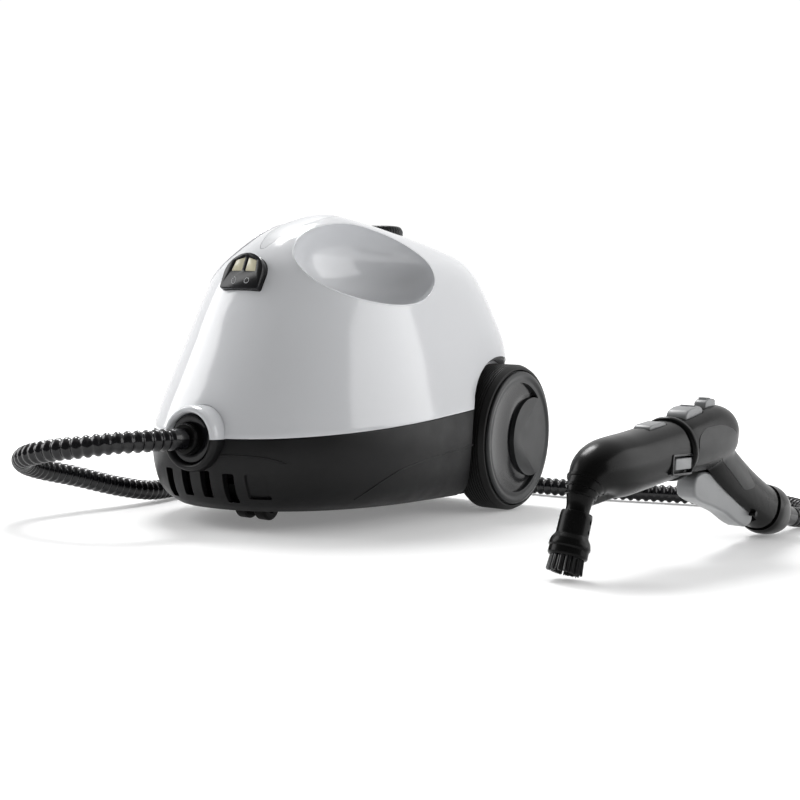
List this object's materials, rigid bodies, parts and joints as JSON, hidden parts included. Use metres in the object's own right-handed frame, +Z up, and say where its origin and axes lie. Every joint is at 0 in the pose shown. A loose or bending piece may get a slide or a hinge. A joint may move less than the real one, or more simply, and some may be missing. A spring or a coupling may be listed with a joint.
{
  "type": "steam cleaner",
  "caption": "Canister steam cleaner: white dome shell on a black base, rear wheels, front caster, screw cap, and a corrugated hose to a steam gun with nozzle and round brush.",
  "frame": {"origin": "on the floor, at the middle of the footprint of the canister and the gun", "axes": "+Z up, -Y towards the canister's front with the hose outlet, +X from the canister to the gun beside it"},
  "size_m": [0.7061, 0.7033, 0.2595],
  "materials": {
    "white_shell": "gloss",
    "black_plastic": "satin",
    "gloss_black_plastic": "gloss",
    "hose": "gloss",
    "dark_grey_plastic": "satin",
    "light_grey_plastic": "satin",
    "tyre": "matte",
    "rubber": "matte",
    "lamp_lens": "gloss",
    "steel": "brushed",
    "brass": "satin",
    "insulation": "matte",
    "ceramic": "matte",
    "bristles": "satin"
  },
  "bodies": {
    "body": {"upper_shell": "white_shell", "lower_base": "black_plastic", "handle_inlay": "light_grey_plastic", "indicator_panel": "gloss_black_plastic", "left_lamp_window": "lamp_lens", "right_lamp_window": "lamp_lens", "rear_panel": "black_plastic", "cable_gland": "rubber", "hose_collar": "black_plastic", "boiler": "steel", "insulation_jacket": "insulation", "boiler_cradle": "steel", "heating_element": "steel", "thermostat": "ceramic", "thermal_cutout": "steel", "terminal_block": "ceramic", "steam_pipe": "brass", "filler_neck": "brass", "filler_collar": "black_plastic", "rear_axle": "steel", "case_screw_1": "steel", "case_screw_2": "steel", "case_screw_3": "steel", "case_screw_4": "steel", "gun_shell_left": "black_plastic", "gun_shell_right": "black_plastic", "trigger_pin": "steel", "trigger_spring": "steel", "steam_valve": "brass", "lock_collar": "black_plastic", "gun_spigot": "black_plastic", "valve_to_spigot_tube": "rubber", "gun_end_cap": "black_plastic", "steam_hose": "hose"},
    "left_wheel": {"left_wheel_rim": "dark_grey_plastic", "left_tyre": "tyre", "left_hub_cap": "dark_grey_plastic"},
    "right_wheel": {"right_wheel_rim": "dark_grey_plastic", "right_tyre": "tyre", "right_hub_cap": "dark_grey_plastic"},
    "caster": {"caster_fork": "black_plastic", "caster_axle": "steel"},
    "left_roller": {"left_caster_roller": "rubber"},
    "right_roller": {"right_caster_roller": "rubber"},
    "plug": {"cap_plug": "brass", "cap_seal": "rubber"},
    "cap": {"cap_knob": "dark_grey_plastic", "cap_spring": "steel"},
    "hose_swivel_ring": {"hose_swivel": "black_plastic"},
    "gun_swivel_ring": {"gun_hose_swivel": "black_plastic"},
    "trigger_lever": {"trigger": "light_grey_plastic"},
    "stem": {"valve_stem": "brass"},
    "button": {"release_button": "light_grey_plastic"},
    "lock_switch": {"child_lock": "light_grey_plastic"},
    "nozzle": {"point_nozzle": "black_plastic"},
    "left_slider": {"left_lock_slider": "light_grey_plastic"},
    "right_slider": {"right_lock_slider": "light_grey_plastic"},
    "latch": {"latch_tab": "light_grey_plastic"},
    "brush": {"brush_holder": "black_plastic", "bristle_ring": "bristles"}
  },
  "joints": [
    {"name": "left_wheel_spin", "type": "hinge", "parent": "body", "child": "left_wheel", "pos_m": [-0.12337, 0.12848, 0.067], "axis": [1, 0, 0], "continuous": true},
    {"name": "right_wheel_spin", "type": "hinge", "parent": "body", "child": "right_wheel", "pos_m": [-0.12337, 0.12848, 0.067], "axis": [1, 0, 0], "continuous": true},
    {"name": "caster_swivel", "type": "hinge", "parent": "body", "child": "caster", "pos_m": [-0.12337, -0.09852, 0.02], "axis": [0, 0, 1], "continuous": true},
    {"name": "left_roller_spin", "type": "hinge", "parent": "caster", "child": "left_roller", "pos_m": [-0.12337, -0.09852, 0.011], "axis": [1, 0, 0], "continuous": true},
    {"name": "right_roller_spin", "type": "hinge", "parent": "caster", "child": "right_roller", "pos_m": [-0.12337, -0.09852, 0.011], "axis": [1, 0, 0], "continuous": true},
    {"name": "cap_rise", "type": "slide", "parent": "body", "child": "plug", "axis": [0, 0, 1], "range_m": [0, 0.012]},
    {"name": "cap_turn", "type": "hinge", "parent": "plug", "child": "cap", "pos_m": [-0.12337, 0.08048, 0.245], "axis": [0, 0, 1], "range_deg": [0, 1080]},
    {"name": "hose_swivel_spin", "type": "hinge", "parent": "body", "child": "hose_swivel_ring", "pos_m": [-0.12337, -0.17652, 0.071], "axis": [0, -1, 0], "continuous": true},
    {"name": "gun_swivel_spin", "type": "hinge", "parent": "body", "child": "gun_swivel_ring", "pos_m": [0.23069, 0.14325, 0.0199], "axis": [0.0863, 0.9865, -0.1391], "continuous": true},
    {"name": "trigger_pull", "type": "hinge", "parent": "body", "child": "trigger_lever", "pos_m": [0.22634, 0.09344, 0.024], "axis": [-0.9962, 0.0872, 0], "range_deg": [0, 6], "stiffness_Nm_per_rad": 1.5, "deforming": ["trigger_spring"]},
    {"name": "stem_lift", "type": "slide", "parent": "body", "child": "stem", "axis": [0.039, 0.4455, 0.8944], "range_m": [0, 0.0044]},
    {"name": "release_press", "type": "slide", "parent": "body", "child": "button", "axis": [0, 0, -1], "range_m": [0, 0.0025], "stiffness_N_per_m": 400},
    {"name": "child_lock_slide", "type": "slide", "parent": "body", "child": "lock_switch", "axis": [-0.0872, -0.9962, 0], "range_m": [0, 0.005]},
    {"name": "nozzle_pull_off", "type": "slide", "parent": "body", "child": "nozzle", "axis": [-0.0866, -0.9898, -0.1132], "range_m": [0, 0.034]},
    {"name": "left_slider_slide", "type": "slide", "parent": "nozzle", "child": "left_slider", "axis": [-0.0872, -0.9962, 0], "range_m": [0, 0.0035]},
    {"name": "right_slider_slide", "type": "slide", "parent": "nozzle", "child": "right_slider", "axis": [-0.0872, -0.9962, 0], "range_m": [0, 0.0035]},
    {"name": "latch_press", "type": "slide", "parent": "nozzle", "child": "latch", "axis": [0, 0, -1], "range_m": [0, 0.0013]},
    {"name": "brush_turn", "type": "hinge", "parent": "nozzle", "child": "brush", "pos_m": [0.20193, -0.18549, 0], "axis": [0.0298, 0.3407, 0.9397], "range_deg": [0, 90]}
  ],
  "couplings": [
    {"joint": "cap_turn", "follows": "cap_rise", "rad_per_m": 1570.8},
    {"joint": "stem_lift", "follows": "trigger_pull", "m_per_rad": 0.0408},
    {"joint": "latch_press", "follows": "release_press", "ratio": 0.5},
    {"joint": "right_slider_slide", "follows": "left_slider_slide", "ratio": 1}
  ]
}
